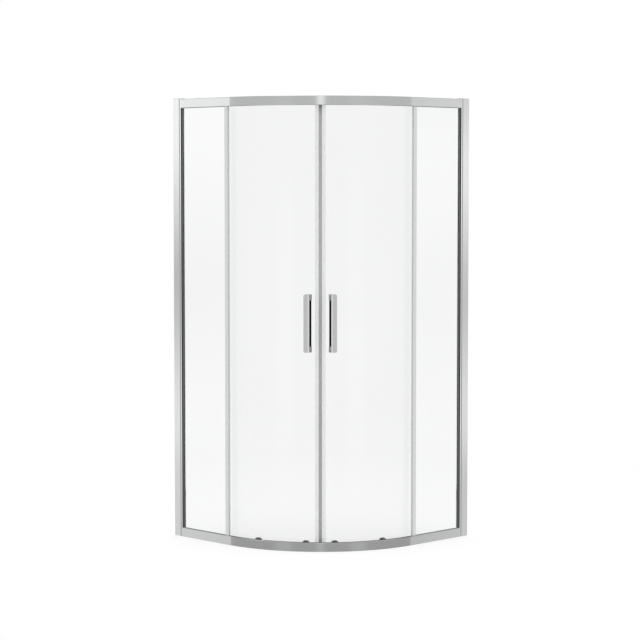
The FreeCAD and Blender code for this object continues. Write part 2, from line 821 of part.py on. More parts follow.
def magnetic_seal(name, side):
    body = new_body("magnetic_seal_" + name)
    web = "(meeting_gap + chamber_width)"
    root = "(meeting_gap + chamber_width + seal_wall)"
    outline = [("meeting_gap", SEAL_FACE), ("clip_reach", SEAL_FACE),
               ("clip_reach", SEAL_FACE + " + clip_wall"),
               (root, SEAL_FACE + " + clip_wall"), (root, SEAL_BACK + " - clip_wall"),
               ("clip_reach", SEAL_BACK + " - clip_wall"), ("clip_reach", SEAL_BACK),
               ("meeting_gap", SEAL_BACK)]
    chamber = box("meeting_gap + nose_wall", SEAL_FACE + " + seal_wall", web, SEAL_BACK + " - seal_wall")
    loops = [across(side, outline), across(side, chamber)]
    extrude(body, loops, "door_end_gap", RAIL_TOP + " - door_end_gap")
    in_curve(body, side)


def magnet_strip(name, side):
    body = new_body("magnet_strip_" + name)
    web = "(meeting_gap + chamber_width)"
    bar = box("meeting_gap + nose_wall + fit_gap", SEAL_FACE + " + seal_wall + fit_gap", web + " - fit_gap",
              SEAL_BACK + " - seal_wall - fit_gap")
    extrude(body, [across(side, bar)], "door_end_gap", RAIL_TOP + " - door_end_gap")
    in_curve(body, side)


# Rear seal with a fin that closes the gap behind the fixed pane
def door_edge_seal(name, side):
    body = new_body("door_edge_seal_" + name)
    face = DOOR_FACE + " - clip_gap - clip_wall"
    back = DOOR_BACK + " + clip_inner_gap + clip_wall"
    reach = minus("edge_clip_reach")
    root = "fit_gap"
    end = "(fit_gap + edge_wall)"
    outline = [(reach, face), (root, face), (root, face + " - edge_fin"), (end, face + " - edge_fin"),
               (end, back),
               (reach, back), (reach, back + " - clip_wall"), (root, back + " - clip_wall"),
               (root, face + " + clip_wall"), (reach, face + " + clip_wall")]
    extrude(body, [across(side, outline)], "rail_height + door_gap", RAIL_TOP + " - rail_height - door_gap")
    in_curve(body, side, "door_rear_angle")


# Wheels, top axles and their bushes
def wheel(label, side, angle, level):
    body = new_body(label)
    face = "wheel_inset"
    back = "(wheel_inset + wheel_width)"
    bore = "axle_radius + running_gap"
    shallow = "wheel_radius - wheel_crown"
    outline = [(bore, face), ("wheel_hub", face), ("wheel_hub", face + " + wheel_dish"),
               ("wheel_rim", face + " + wheel_dish"), ("wheel_rim", face), (shallow, face),
               ("wheel_radius", face + " + wheel_crown"), ("wheel_radius", back + " - wheel_crown"),
               (shallow, back),
               ("wheel_rim", back), ("wheel_rim", back + " - wheel_dish"),
               ("wheel_hub", back + " - wheel_dish"),
               ("wheel_hub", back), (bore, back)]
    turned(body, across(1, outline), level)
    in_curve(body, side, angle)


SHOULDER = "(wheel_inset + wheel_width + wheel_gap)"
HEAD_BACK = "(wheel_inset - wheel_gap)"


def top_axles(name, side):
    members = []
    for angle in ("front_roller_angle", "rear_roller_angle"):
        body = new_body("top_axle_" + name + "_" + angle.split("_")[0], keep=False)
        stem = DOOR_FACE + " - 2 * fit_gap - bush_flange_gauge"
        knob = DOOR_BACK + " + curve_gap + bush_flange_gauge + fit_gap"
        end = knob + " + knob_length"
        outline = [("0", HEAD_BACK + " - axle_head_length"), ("axle_head", HEAD_BACK + " - axle_head_length"),
                   ("axle_head", HEAD_BACK), ("axle_radius", HEAD_BACK), ("axle_radius", SHOULDER),
                   ("shoulder_radius", SHOULDER), ("shoulder_radius", stem), ("stem_radius", stem),
                   ("stem_radius", knob), ("knob_radius", knob, ["knob_bevel"]),
                   ("knob_radius", end, ["knob_bevel"]),
                   ("knob_socket", end), ("knob_socket", end + " - knob_socket_depth"),
                   ("0", end + " - knob_socket_depth")]
        turned(body, across(1, outline), TOP_AXLE)
        in_curve(body, side, angle)
        members.append(body)
    group("top_axles_" + name, members)


def top_bushes(name, side):
    members = []
    for angle in ("front_roller_angle", "rear_roller_angle"):
        body = new_body("top_bush_" + name + "_" + angle.split("_")[0], keep=False)
        outer_face = DOOR_FACE + " - fit_gap - bush_flange_gauge"
        outer_back = DOOR_FACE + " - fit_gap"
        inner_face = DOOR_BACK + " + curve_gap"
        inner_back = DOOR_BACK + " + curve_gap + bush_flange_gauge"
        bore = "stem_radius + running_gap"
        outline = [(bore, outer_face), ("bush_flange", outer_face), ("bush_flange", outer_back),
                   ("bush_radius", outer_back), ("bush_radius", inner_face), ("bush_flange", inner_face),
                   ("bush_flange", inner_back), (bore, inner_back)]
        turned(body, across(1, outline), TOP_AXLE)
        in_curve(body, side, angle)
        members.append(body)
    group("top_bushes_" + name, members)


# Bottom roller: a housing fixed through the glass, a spring slider and its wheel
HOUSING_FACE = DOOR_BACK + " + curve_gap"
CAVITY_FACE = HOUSING_FACE + " + housing_wall"
CAVITY_BACK = CAVITY_FACE + " + housing_cavity"


def bottom_housings(name, side):
    members = []
    for angle in ("front_roller_angle", "rear_roller_angle"):
        body = new_body("bottom_housing_" + name + "_" + angle.split("_")[0], keep=False)
        block = [("-housing_half", HOUSING_FACE), ("housing_half", HOUSING_FACE),
                 ("housing_half", CAVITY_BACK + " + housing_wall", "housing_round"),
                 ("-housing_half", CAVITY_BACK + " + housing_wall", "housing_round")]
        extrude(body, [across(1, block)], "housing_low", "housing_top")
        sketch = layer(body, "XZ_Plane", minus("curve_radius - (%s)" % HOUSING_FACE))
        ring(sketch, "0", BOSS_LEVEL, "boss_radius")
        boss = body.newObject("PartDesign::Pad", body.Name + "_boss")
        boss.Profile = sketch
        boss.Reversed = True
        boss.setExpression("Length", bound("glass_gauge"))
        body.Tip = boss
        cavity = box("-slider_half - slider_gap", CAVITY_FACE, "slider_half + slider_gap", CAVITY_BACK)
        hollow(body, [across(1, cavity)], "housing_low + housing_floor", "housing_top")
        slot = box("-slot_half", BOTTOM_AXLE + " - release_travel - slot_half", "slot_half",
                   BOTTOM_AXLE + " + slot_half", "slot_round")
        plane = minus("curve_radius - (%s)" % HOUSING_FACE)
        drill(body, "XZ_Plane", plane, "4 * glass_gauge - 2 * housing_wall - housing_cavity", loops=[slot])
        in_curve(body, side, angle)
        members.append(body)
    group("bottom_housings_" + name, members)


def release_slider(name, side, spot):
    body = new_body("release_slider_" + name + "_" + spot)
    face = CAVITY_FACE + " + slider_gap"
    back = CAVITY_BACK + " - slider_gap"
    plate = box("-slider_half", face, "slider_half", back)
    extrude(body, [across(1, plate)], "slider_low", "slider_top")
    outline = [("0", HEAD_BACK + " - axle_head_length"), ("axle_head", HEAD_BACK + " - axle_head_length"),
               ("axle_head", HEAD_BACK), ("axle_radius", HEAD_BACK), ("axle_radius", SHOULDER),
               ("shoulder_radius", SHOULDER), ("shoulder_radius", DOOR_FACE + " - fit_gap"),
               ("axle_radius", DOOR_FACE + " - fit_gap"), ("axle_radius", face + " + slider_gap"),
               ("0", face + " + slider_gap")]
    turned(body, across(1, outline), BOTTOM_AXLE)
    in_curve(body, side, spot + "_roller_angle")


def release_spring(name, side, spot):
    """A bowed leaf spring between the housing's floor and the slider."""
    body = new_body("release_spring_" + name + "_" + spot)
    middle = "curve_radius - (%s + housing_cavity / 2)" % CAVITY_FACE
    sketch = layer(body, "XZ_Plane", minus(middle))
    floor = "(housing_low + housing_floor + fit_gap)"
    crown = "(slider_low - fit_gap)"
    outline = [("-spring_half", floor), ("-spring_half + 2 * spring_gauge", floor),
               ("-spring_crown_half", crown + " - spring_gauge"),
               ("spring_crown_half", crown + " - spring_gauge"),
               ("spring_half - 2 * spring_gauge", floor), ("spring_half", floor),
               ("spring_half", floor + " + spring_gauge"), ("spring_crown_half", crown),
               ("-spring_crown_half", crown), ("-spring_half", floor + " + spring_gauge")]
    draw(sketch, outline)
    leaf = body.newObject("PartDesign::Pad", body.Name + "_leaf")
    leaf.Profile = sketch
    leaf.Midplane = True
    leaf.setExpression("Length", bound("spring_width"))
    body.Tip = leaf
    in_curve(body, side, spot + "_roller_angle")


# Handle: a metal grip with a finger slot toward the middle, its liner, back bar and bolts
GRIP_BASE = DOOR_FACE + " - fit_gap"
SLOT_HALF_HEIGHT = "(handle_half_height - slot_margin)"
HANDLE_BOLTS = ("handle_level + (handle_half_height - handle_bolt_inset)",
                "handle_level - (handle_half_height - handle_bolt_inset)")


def handle(name, side):
    body = new_body("handle_" + name)
    front = DOOR_FACE + " - handle_depth"
    outer = "handle_half_width"
    sketch = layer(body, "XZ_Plane", minus("curve_radius - (%s)" % GRIP_BASE))
    low = "handle_level - handle_half_height"
    high = "handle_level + handle_half_height"
    outer_x = outer if side > 0 else minus(outer)
    inner_x = minus(outer) if side > 0 else outer
    draw(sketch, [(inner_x, low), (outer_x, low, "handle_round"), (outer_x, high, "handle_round"),
                  (inner_x, high)])
    feature = body.newObject("PartDesign::Pad", body.Name + "_pad")
    feature.Profile = sketch
    feature.Reversed = True
    feature.setExpression("Length", bound("handle_depth - fit_gap"))
    body.Tip = feature
    slant = [(minus(outer), GRIP_BASE),
             ("handle_half_width - handle_front_width", front + " + grip_bevel_depth"),
             ("handle_half_width - handle_front_width + grip_bevel_width", front), (minus(outer), front)]
    hollow(body, [across(side, slant)], low, high)
    rounded_edges(body, front_edge, "handle_edge_round")
    pocket = [("handle_half_width - handle_wall", GRIP_BASE + " + handle_wall"),
              ("handle_half_width - handle_wall", front + " + handle_plate"),
              ("-2 * handle_half_width", front + " + handle_plate"),
              ("-2 * handle_half_width", GRIP_BASE + " + handle_wall")]
    hollow(body, [across(side, pocket)], "handle_level - " + SLOT_HALF_HEIGHT,
           "handle_level + " + SLOT_HALF_HEIGHT)
    bolts = []
    for level in HANDLE_BOLTS:
        bolts.append(("0", level, "handle_bolt_radius + handle_bolt_gap"))
    drill(body, "XZ_Plane", minus("curve_radius - (%s)" % GRIP_BASE), "2 * handle_bolt_depth", bolts)
    in_curve(body, side, "handle_angle")


def front_edge(edge):
    reach = size("curve_radius - (%s - handle_depth)" % DOOR_FACE)
    return edge.BoundBox.YMin > reach - 1e-3


def handle_liner(name, side):
    body = new_body("handle_liner_" + name)
    front = DOOR_FACE + " - handle_depth + handle_plate + fit_gap"
    base = GRIP_BASE
    back = "handle_half_width - handle_wall - fit_gap"
    mouth = "handle_half_width - handle_front_width + liner_wall"
    outline = [(back, base), (back, front), (mouth, front), (mouth, front + " + liner_wall"),
               (back + " - liner_wall", front + " + liner_wall"),
               (back + " - liner_wall", base + " - liner_wall"),
               ("liner_wall - handle_half_width", base + " - liner_wall"),
               ("liner_wall - handle_half_width", base)]
    extrude(body, [across(side, outline)], "handle_level - %s + fit_gap" % SLOT_HALF_HEIGHT,
            "handle_level + %s - fit_gap" % SLOT_HALF_HEIGHT)
    in_curve(body, side, "handle_angle")


def back_bar(name, side):
    body = new_body("handle_back_bar_" + name)
    face = DOOR_BACK + " + curve_gap"
    sketch = layer(body, "XZ_Plane", minus("curve_radius - (%s + back_depth)" % face))
    low = "handle_level - (handle_half_height - back_inset)"
    high = "handle_level + (handle_half_height - back_inset)"
    draw(sketch, box("-back_half_width", low, "back_half_width", high, "handle_round"))
    feature = body.newObject("PartDesign::Pad", body.Name + "_pad")
    feature.Profile = sketch
    feature.Reversed = True
    feature.setExpression("Length", bound("back_depth"))
    body.Tip = feature
    bolts = []
    for level in HANDLE_BOLTS:
        bolts.append(("0", level, "handle_bolt_radius + handle_bolt_gap"))
    drill(body, "XZ_Plane", minus("curve_radius - (%s + back_depth / 2)" % face), "2 * back_depth", bolts)
    in_curve(body, side, "handle_angle")


def handle_bolts(name, side):
    members = []
    for level in HANDLE_BOLTS:
        body = new_body("handle_bolt_" + name + str(len(members)), keep=False)
        seat = DOOR_BACK + " + curve_gap + back_depth + fit_gap"
        tip = GRIP_BASE + " - handle_bolt_depth + fit_gap"
        outline = [("0", tip), ("handle_bolt_radius", tip), ("handle_bolt_radius", seat),
                   ("back_head_radius", seat),
                   ("back_head_radius", seat + " + back_head_length", ["back_bevel"]),
                   ("0", seat + " + back_head_length")]
        turned(body, across(1, outline), level)
        in_curve(body, side, "handle_angle")
        members.append(body)
    group("handle_bolts_" + name, members)


for name, side in SIDES.items():
    wall_profile(name, side)
    jamb(name, side)
    jamb_cap(name, side)
    fixed_glass(name, side)
    glazing_gasket(name, side)
    edge_strip(name, side)
rail("bottom_rail", upright)
rail("top_rail", hung)
rail_seal("bottom", upright)
rail_seal("top", hung)
rail_screws()
jamb_fasteners("jamb_screws", screw_outline())
jamb_fasteners("screw_covers", cover_outline())
open_stops()
for name, side in SIDES.items():
    door_glass(name, side)
    magnetic_seal(name, side)
    magnet_strip(name, side)
    door_edge_seal(name, side)
    handle(name, side)
    handle_liner(name, side)
    back_bar(name, side)
    handle_bolts(name, side)
    top_axles(name, side)
    top_bushes(name, side)
    bottom_housings(name, side)
    for spot in ("front", "rear"):
        wheel("top_wheel_" + name + "_" + spot, side, spot + "_roller_angle", TOP_AXLE)
        release_slider(name, side, spot)
        release_spring(name, side, spot)
        wheel("bottom_wheel_" + name + "_" + spot, side, spot + "_roller_angle", BOTTOM_AXLE)
doc.recompute()

# Every object sound before the files are written
for item in doc.Objects:
    if "Invalid" in item.State or "Error" in item.State:
        raise RuntimeError("not sound: " + item.Label)
os.makedirs("parts", exist_ok=True)
for label, item in PARTS.items():
    shape = item.Shape
    if shape.isNull() or not shape.isValid():
        raise RuntimeError("shape not sound: " + label)
    shape.exportStep("parts/" + label + ".step")
    room = shape.BoundBox
    print("%-28s solids %d volume %.0f box %.1f %.1f %.1f to %.1f %.1f %.1f" % (
        label, len(shape.Solids), shape.Volume, room.XMin, room.YMin, room.ZMin, room.XMax, room.YMax,
        room.ZMax))
print("sub-parts", len(PARTS))
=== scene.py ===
import json
import math

import bmesh
import bpy
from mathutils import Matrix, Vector


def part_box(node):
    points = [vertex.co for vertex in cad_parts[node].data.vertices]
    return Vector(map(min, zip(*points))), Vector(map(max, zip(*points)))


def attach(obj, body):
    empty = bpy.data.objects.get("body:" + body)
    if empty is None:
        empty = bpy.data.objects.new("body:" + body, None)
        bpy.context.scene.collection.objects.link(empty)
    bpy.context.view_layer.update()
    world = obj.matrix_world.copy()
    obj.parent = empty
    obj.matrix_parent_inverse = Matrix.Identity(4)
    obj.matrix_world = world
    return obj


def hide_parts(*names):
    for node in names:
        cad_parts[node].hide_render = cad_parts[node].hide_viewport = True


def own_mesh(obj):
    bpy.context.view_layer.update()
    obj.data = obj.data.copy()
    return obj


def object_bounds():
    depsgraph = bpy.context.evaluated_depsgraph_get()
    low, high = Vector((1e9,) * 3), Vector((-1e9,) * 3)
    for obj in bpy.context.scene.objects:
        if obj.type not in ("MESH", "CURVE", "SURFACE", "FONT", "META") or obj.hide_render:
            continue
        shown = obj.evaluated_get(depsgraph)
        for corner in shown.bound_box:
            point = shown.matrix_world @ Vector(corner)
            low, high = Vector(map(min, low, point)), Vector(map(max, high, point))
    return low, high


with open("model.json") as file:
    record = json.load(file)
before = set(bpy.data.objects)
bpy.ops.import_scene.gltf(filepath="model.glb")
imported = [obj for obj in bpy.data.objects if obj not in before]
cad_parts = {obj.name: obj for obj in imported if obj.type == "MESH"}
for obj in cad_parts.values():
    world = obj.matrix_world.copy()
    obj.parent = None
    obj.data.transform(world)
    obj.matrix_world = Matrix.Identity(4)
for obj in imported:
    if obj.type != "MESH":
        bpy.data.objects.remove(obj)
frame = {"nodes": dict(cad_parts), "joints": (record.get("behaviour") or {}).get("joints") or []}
CAD_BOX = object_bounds()
NODES = frame["nodes"]
JOINTS = {joint["name"]: joint for joint in frame["joints"]}

# Directions across the view, towards it and up, which the corner's diagonal sets
DIAGONAL = math.sqrt(0.5)
ASIDE = (DIAGONAL, DIAGONAL, 0)
AHEAD = (DIAGONAL, -DIAGONAL, 0)
UP = (0, 0, 1)

# Camera of the photograph: at eye height, on the corner's diagonal, aimed slightly down.
# Distances are in metres, angles in degrees and the sensor in millimetres.
CAMERA_DISTANCE = 8.967
CAMERA_ASIDE = 0.070
CAMERA_HEIGHT = 1.552
CAMERA_DOWN = 3.885
CAMERA_TURN = 45.476
CAMERA_FOCAL_PIXELS = 2069.5
PHOTO_PIXELS = 640
SENSOR_WIDTH = 36.0
CAMERA_CLIP = 60.0


def add_camera():
    data = bpy.data.cameras.new("camera")
    data.lens = CAMERA_FOCAL_PIXELS / PHOTO_PIXELS * SENSOR_WIDTH
    data.sensor_width = SENSOR_WIDTH
    data.sensor_fit = "HORIZONTAL"
    data.clip_end = CAMERA_CLIP
    camera = bpy.data.objects.new("camera", data)
    right = (CAMERA_ASIDE + CAMERA_DISTANCE) * DIAGONAL
    ahead = (CAMERA_ASIDE - CAMERA_DISTANCE) * DIAGONAL
    camera.location = (right, ahead, CAMERA_HEIGHT)
    camera.rotation_euler = (math.radians(90 - CAMERA_DOWN), 0, math.radians(CAMERA_TURN))
    bpy.context.scene.collection.objects.link(camera)
    bpy.context.scene.camera = camera


# Node helpers, with the sockets of a Mix node that mixes colours
MIX_FIRST = 6
MIX_SECOND = 7
MIX_RESULT = 2
WHITE = (1, 1, 1)


def shader_of(material):
    return material.node_tree.nodes["Principled BSDF"]


def new_material(name):
    material = bpy.data.materials.new(name)
    material.use_nodes = True
    return material, material.node_tree, shader_of(material)


def add_node(tree, kind, **values):
    node = tree.nodes.new(kind)
    for key, value in values.items():
        setattr(node, key, value)
    return node


# Sets a node's inputs by their names, with underscores for spaces
def set_inputs(node, **values):
    for key, value in values.items():
        node.inputs[key.replace("_", " ")].default_value = value
    return node


def ramp(tree, stops):
    node = tree.nodes.new("ShaderNodeValToRGB")
    elements = node.color_ramp.elements
    while len(elements) < len(stops):
        elements.new(0.5)
    for element, (place, value) in zip(elements, stops):
        element.position = place
        element.color = value if len(value) == 4 else (*value, 1)
    return node


def grey(value):
    return (value, value, value, 1)


def map_range(tree, source, from_pair, to_pair):
    node = add_node(tree, "ShaderNodeMapRange")
    set_inputs(node, From_Min=from_pair[0], From_Max=from_pair[1], To_Min=to_pair[0], To_Max=to_pair[1])
    tree.links.new(source, node.inputs["Value"])
    return node.outputs["Result"]


def mix_colour(tree, factor, first, second):
    node = add_node(tree, "ShaderNodeMix", data_type="RGBA")
    tree.links.new(factor, node.inputs["Factor"])
    tree.links.new(first, node.inputs[MIX_FIRST])
    tree.links.new(second, node.inputs[MIX_SECOND])
    return node.outputs[MIX_RESULT]


def math_node(tree, operation, first, second=None):
    node = add_node(tree, "ShaderNodeMath", operation=operation, use_clamp=True)
    tree.links.new(first, node.inputs[0])
    if second is not None:
        tree.links.new(second, node.inputs[1])
    return node.outputs["Value"]


# Share of a direction, or distance of a place, along an axis
def along(tree, direction, axis):
    node = add_node(tree, "ShaderNodeVectorMath", operation="DOT_PRODUCT")
    node.inputs[1].default_value = axis
    tree.links.new(direction, node.inputs[0])
    return node.outputs["Value"]


# Grey tones that run over a source from 0 to 1
def tones(tree, source, stops):
    node = ramp(tree, [(place, grey(value)) for place, value in stops])
    tree.links.new(source, node.inputs["Fac"])
    return node.outputs["Color"]


# Noise of the finishes, the shares of it over which tint and roughness run, and depths in metres
STREAK_DETAIL = 4
STREAK_ROUGHNESS = 0.6
METAL_DULL_SHARE = 0.95
METAL_TINT_RUN = (0.35, 0.7)
METAL_ROUGH_RUN = (0.3, 0.75)
METAL_MARKS = 0.15
MARK_DEPTH = 0.00002
GLASS_IOR = 1.5
GLASS_STRETCH = (1, 1, 0.4)
GLASS_SCALE = 3.0
GLASS_DETAIL = 2
GLASS_TINTS = ((-0.006, -0.001, -0.002), (0, 0.004, 0.003))
GLASS_TINT_RUN = (0.3, 0.7)
GLASS_HAZE = (0.0, 0.006)
GLASS_HAZE_RUN = (0.3, 0.8)
GLASS_WAVES = 0.3
GRAIN_DETAIL = 5
GRAIN_ROUGHNESS = 0.65
GRAIN_RUN = (0.3, 0.7)
GRAIN_DEPTH = 0.0002
PLASTIC_GLOSS = 0.5


# Streaks along one direction, from object coordinates in metres
def streaks(tree, stretch, scale, detail):
    coords = add_node(tree, "ShaderNodeTexCoord")
    mapping = add_node(tree, "ShaderNodeMapping")
    mapping.inputs["Scale"].default_value = stretch
    noise = add_node(tree, "ShaderNodeTexNoise")
    set_inputs(noise, Scale=scale, Detail=detail, Roughness=STREAK_ROUGHNESS)
    tree.links.new(coords.outputs["Object"], mapping.inputs["Vector"])
    tree.links.new(mapping.outputs["Vector"], noise.inputs["Vector"])
    return noise


# Tint, roughness and bump of a shader, all from one noise
def noise_finish(tree, shader, noise, tints, roughs, bump):
    tint = ramp(tree, tints)
    rough = ramp(tree, [(place, grey(value)) for place, value in roughs])
    raised = add_node(tree, "ShaderNodeBump")
    set_inputs(raised, **bump)
    tree.links.new(noise.outputs["Fac"], tint.inputs["Fac"])
    tree.links.new(noise.outputs["Fac"], rough.inputs["Fac"])
    tree.links.new(noise.outputs["Fac"], raised.inputs["Height"])
    tree.links.new(tint.outputs["Color"], shader.inputs["Base Color"])
    tree.links.new(rough.outputs["Color"], shader.inputs["Roughness"])
    tree.links.new(raised.outputs["Normal"], shader.inputs["Normal"])


# Bright metal with faint drawing marks along the extrusion
def bright_metal(name, colour, roughs, stretch, scale):
    material, tree, shader = new_material(name)
    set_inputs(shader, Metallic=1.0)
    noise = streaks(tree, stretch, scale, STREAK_DETAIL)
    dull = tuple(c * METAL_DULL_SHARE for c in colour)
    tints = list(zip(METAL_TINT_RUN, (dull, colour)))
    bump = dict(Strength=METAL_MARKS, Distance=MARK_DEPTH)
    noise_finish(tree, shader, noise, tints, zip(METAL_ROUGH_RUN, roughs), bump)
    return material


# Clear float glass with a faint tint, a trace of haze and the least waviness
def clear_glass(name, clearness):
    material, tree, shader = new_material(name)
    set_inputs(shader, Transmission_Weight=1.0, IOR=GLASS_IOR)
    noise = streaks(tree, GLASS_STRETCH, GLASS_SCALE, GLASS_DETAIL)
    colours = [tuple(clearness + shift for shift in shifts) for shifts in GLASS_TINTS]
    tints = list(zip(GLASS_TINT_RUN, colours))
    bump = dict(Strength=GLASS_WAVES, Distance=MARK_DEPTH)
    noise_finish(tree, shader, noise, tints, zip(GLASS_HAZE_RUN, GLASS_HAZE), bump)
    return material


# Plastic or rubber with a fine moulded grain
def moulded(name, colour, roughs, grain, bump, spread, gloss=PLASTIC_GLOSS):
    material, tree, shader = new_material(name)
    set_inputs(shader, Specular_IOR_Level=gloss)
    coords = add_node(tree, "ShaderNodeTexCoord")
    noise = add_node(tree, "ShaderNodeTexNoise")
    set_inputs(noise, Scale=grain, Detail=GRAIN_DETAIL, Roughness=GRAIN_ROUGHNESS)
    tree.links.new(coords.outputs["Object"], noise.inputs["Vector"])
    low = tuple(c * (1 - spread) for c in colour)
    high = tuple(min(c * (1 + spread), 1) for c in colour)
    tints = list(zip(GRAIN_RUN, (low, high)))
    marks = dict(Strength=bump, Distance=GRAIN_DEPTH)
    noise_finish(tree, shader, noise, tints, zip(GRAIN_RUN, roughs), marks)
    return material


# Finishes of the nodes, by a short name
METALS = {
    "rail": dict(name="bright_rail", colour=(0.83, 0.835, 0.84), roughs=(0.10, 0.16),
                 stretch=(2, 2, 160), scale=6.0),
    "upright": dict(name="bright_upright", colour=(0.85, 0.855, 0.86), roughs=(0.05, 0.09),
                    stretch=(160, 160, 2), scale=6.0),
    "chrome": dict(name="handle_chrome", colour=(0.86, 0.865, 0.87), roughs=(0.05, 0.09),
                   stretch=(60, 60, 6), scale=8.0),
    "steel": dict(name="fastener_steel", colour=(0.66, 0.66, 0.67), roughs=(0.22, 0.32),
                  stretch=(40, 40, 40), scale=12.0),
}
GLASSES = {
    "door": dict(name="door_glass", clearness=0.930),
    "pane": dict(name="pane_glass", clearness=0.945),
}
PLASTICS = {
    "strip": dict(name="silver_strip", colour=(0.66, 0.67, 0.68), roughs=(0.3, 0.4),
                  grain=90.0, bump=0.05, spread=0.03),
    "trim": dict(name="silver_trim", colour=(0.70, 0.71, 0.72), roughs=(0.3, 0.4),
                 grain=120.0, bump=0.1, spread=0.04),
    "rubber": dict(name="black_rubber", colour=(0.050, 0.050, 0.052), roughs=(0.6, 0.75),
                   grain=200.0, bump=0.3, spread=0.2, gloss=0.15),
    "grey rubber": dict(name="grey_rubber", colour=(0.30, 0.30, 0.31), roughs=(0.5, 0.65),
                        grain=200.0, bump=0.3, spread=0.1),
    "gasket": dict(name="gasket_rubber", colour=WHITE, roughs=(0.6, 0.75),
                   grain=200.0, bump=0.1, spread=0.08, gloss=0.15),
    "seal": dict(name="seal_plastic", colour=(0.88, 0.89, 0.89), roughs=(0.25, 0.4),
                 grain=60.0, bump=0.1, spread=0.02),
    "nosed seal": dict(name="meeting_seal_plastic", colour=(0.88, 0.89, 0.89), roughs=(0.25, 0.4),
                       grain=60.0, bump=0.1, spread=0.02),
    "magnet": dict(name="magnet_core", colour=WHITE, roughs=(0.5, 0.6),
                   grain=150.0, bump=0.2, spread=0.08),
    "liner": dict(name="slot_liner", colour=(0.004, 0.004, 0.005), roughs=(0.6, 0.75),
                  grain=220.0, bump=0.3, spread=0.2, gloss=0.1),
    "dark": dict(name="roller_plastic", colour=(0.28, 0.28, 0.285), roughs=(0.35, 0.5),
                 grain=180.0, bump=0.2, spread=0.12),
    "nylon": dict(name="wheel_nylon", colour=(0.80, 0.80, 0.77), roughs=(0.3, 0.45),
                  grain=160.0, bump=0.1, spread=0.04),
}

# Translucent seals, the gasket's lip and the meeting line.
# Places are in metres from the middle, and tones run by shares of the lip's width or of the whole height.
SEAL_COVER = 0.16
NOSE_COVER = 0.95
NOSE_EDGES = (0.0010, 0.0016)
GASKET_LIP = (0.5952, 0.6023)
# Painted reflection and shade on the black gasket's lip: lighter at its tip, near black at its root
GASKET_PAINTED_LIGHT = [(0.2, 0.16), (0.7, 0.006)]
# The magnet's own grey by height, with painted shade near both ends where the rails shade it
MEETING_GREY_AND_SHADE = [(0.021, 0.17), (0.034, 0.21), (0.05, 0.29), (0.50, 0.30), (0.62, 0.365), (0.957, 0.33),
                 (0.966, 0.26), (0.971, 0.18), (0.978, 0.02)]


def from_middle(tree, coords):
    return math_node(tree, "ABSOLUTE", along(tree, coords.outputs["Object"], ASIDE))


# Tone of the meeting line by height: the magnet's own grey with painted shade, deeper where the rails
# shade it at both ends, and lighter a little above the middle
def meeting_grey_and_shade(tree, coords):
    height = map_range(tree, along(tree, coords.outputs["Object"], UP), (0, CAD_BOX[1][2]), (0, 1))
    return tones(tree, height, MEETING_GREY_AND_SHADE)


# Tone of the gasket's lip, from its tip on the glass to its root at the jamb: painted light on black
# rubber, a painted reflection lighter at the tip and painted shade near black at the root
def lip_painted_light(tree, coords):
    return tones(tree, map_range(tree, from_middle(tree, coords), GASKET_LIP, (0, 1)), GASKET_PAINTED_LIGHT)


# Moulded grain, multiplied by a tone, which holds the part's own colour with painted light and shade
def shade(material, tone):
    tree = material.node_tree
    shader = shader_of(material)
    coords = add_node(tree, "ShaderNodeTexCoord")
    grain = shader.inputs["Base Color"].links[0].from_socket
    product = add_node(tree, "ShaderNodeMix", data_type="RGBA", blend_type="MULTIPLY")
    set_inputs(product, Factor=1.0)
    tree.links.new(tone(tree, coords), product.inputs[MIX_FIRST])
    tree.links.new(grain, product.inputs[MIX_SECOND])
    tree.links.new(product.outputs[MIX_RESULT], shader.inputs["Base Color"])


# A seal's nose, at the meeting line of the doors, is nearly opaque and as dark as the magnet, painted
# shade by height included
def add_nose(material):
    tree = material.node_tree
    shader = shader_of(material)
    coords = add_node(tree, "ShaderNodeTexCoord")
    body = map_range(tree, from_middle(tree, coords), NOSE_EDGES, (0, 1))
    clear = shader.inputs["Base Color"].links[0].from_socket
    tree.links.new(mix_colour(tree, body, meeting_grey_and_shade(tree, coords), clear), shader.inputs["Base Color"])
    tree.links.new(map_range(tree, body, (0, 1), (NOSE_COVER, SEAL_COVER)), shader.inputs["Alpha"])


def build_materials():
    materials = {key: bright_metal(**values) for key, values in METALS.items()}
    materials.update({key: clear_glass(**values) for key, values in GLASSES.items()})
    materials.update({key: moulded(**values) for key, values in PLASTICS.items()})
    set_inputs(shader_of(materials["seal"]), Alpha=SEAL_COVER)
    add_nose(materials["nosed seal"])
    shade(materials["magnet"], meeting_grey_and_shade)
    shade(materials["gasket"], lip_painted_light)
    return materials


# The first start that fits a node's name gives its finish
FINISHES = [
    ("top_rail", "rail"), ("bottom_rail", "rail"), ("wall_profile", "upright"), ("jamb_cap", "trim"),
    ("jamb_screws", "steel"), ("jamb", "upright"), ("fixed_glass", "pane"), ("door_glass", "door"),
    ("glazing_gasket", "gasket"), ("rail_seals", "grey rubber"), ("fixed_edge_strip", "strip"),
    ("rail_screws", "steel"), ("screw_covers", "trim"), ("open_stops", "rubber"),
    ("magnetic_seal", "nosed seal"), ("magnet_strip", "magnet"), ("door_edge_seal", "seal"),
    ("handle_liner", "liner"), ("handle_bolts", "steel"), ("handle", "chrome"), ("top_axles", "steel"),
    ("top_bushes", "seal"), ("bottom_housings", "dark"), ("release_slider", "dark"),
    ("release_spring", "steel"), ("top_wheel", "nylon"), ("bottom_wheel", "nylon"),
]


def dress_nodes(materials):
    for name, node in NODES.items():
        for start, key in FINISHES:
            if name.startswith(start):
                node.data.materials.clear()
                node.data.materials.append(materials[key])
                break
        else:
            raise RuntimeError("no finish for " + name)


# Both sides of the corner, and the roller places of each door
SIDES = ("left", "right")
SPOTS = ("front", "rear")

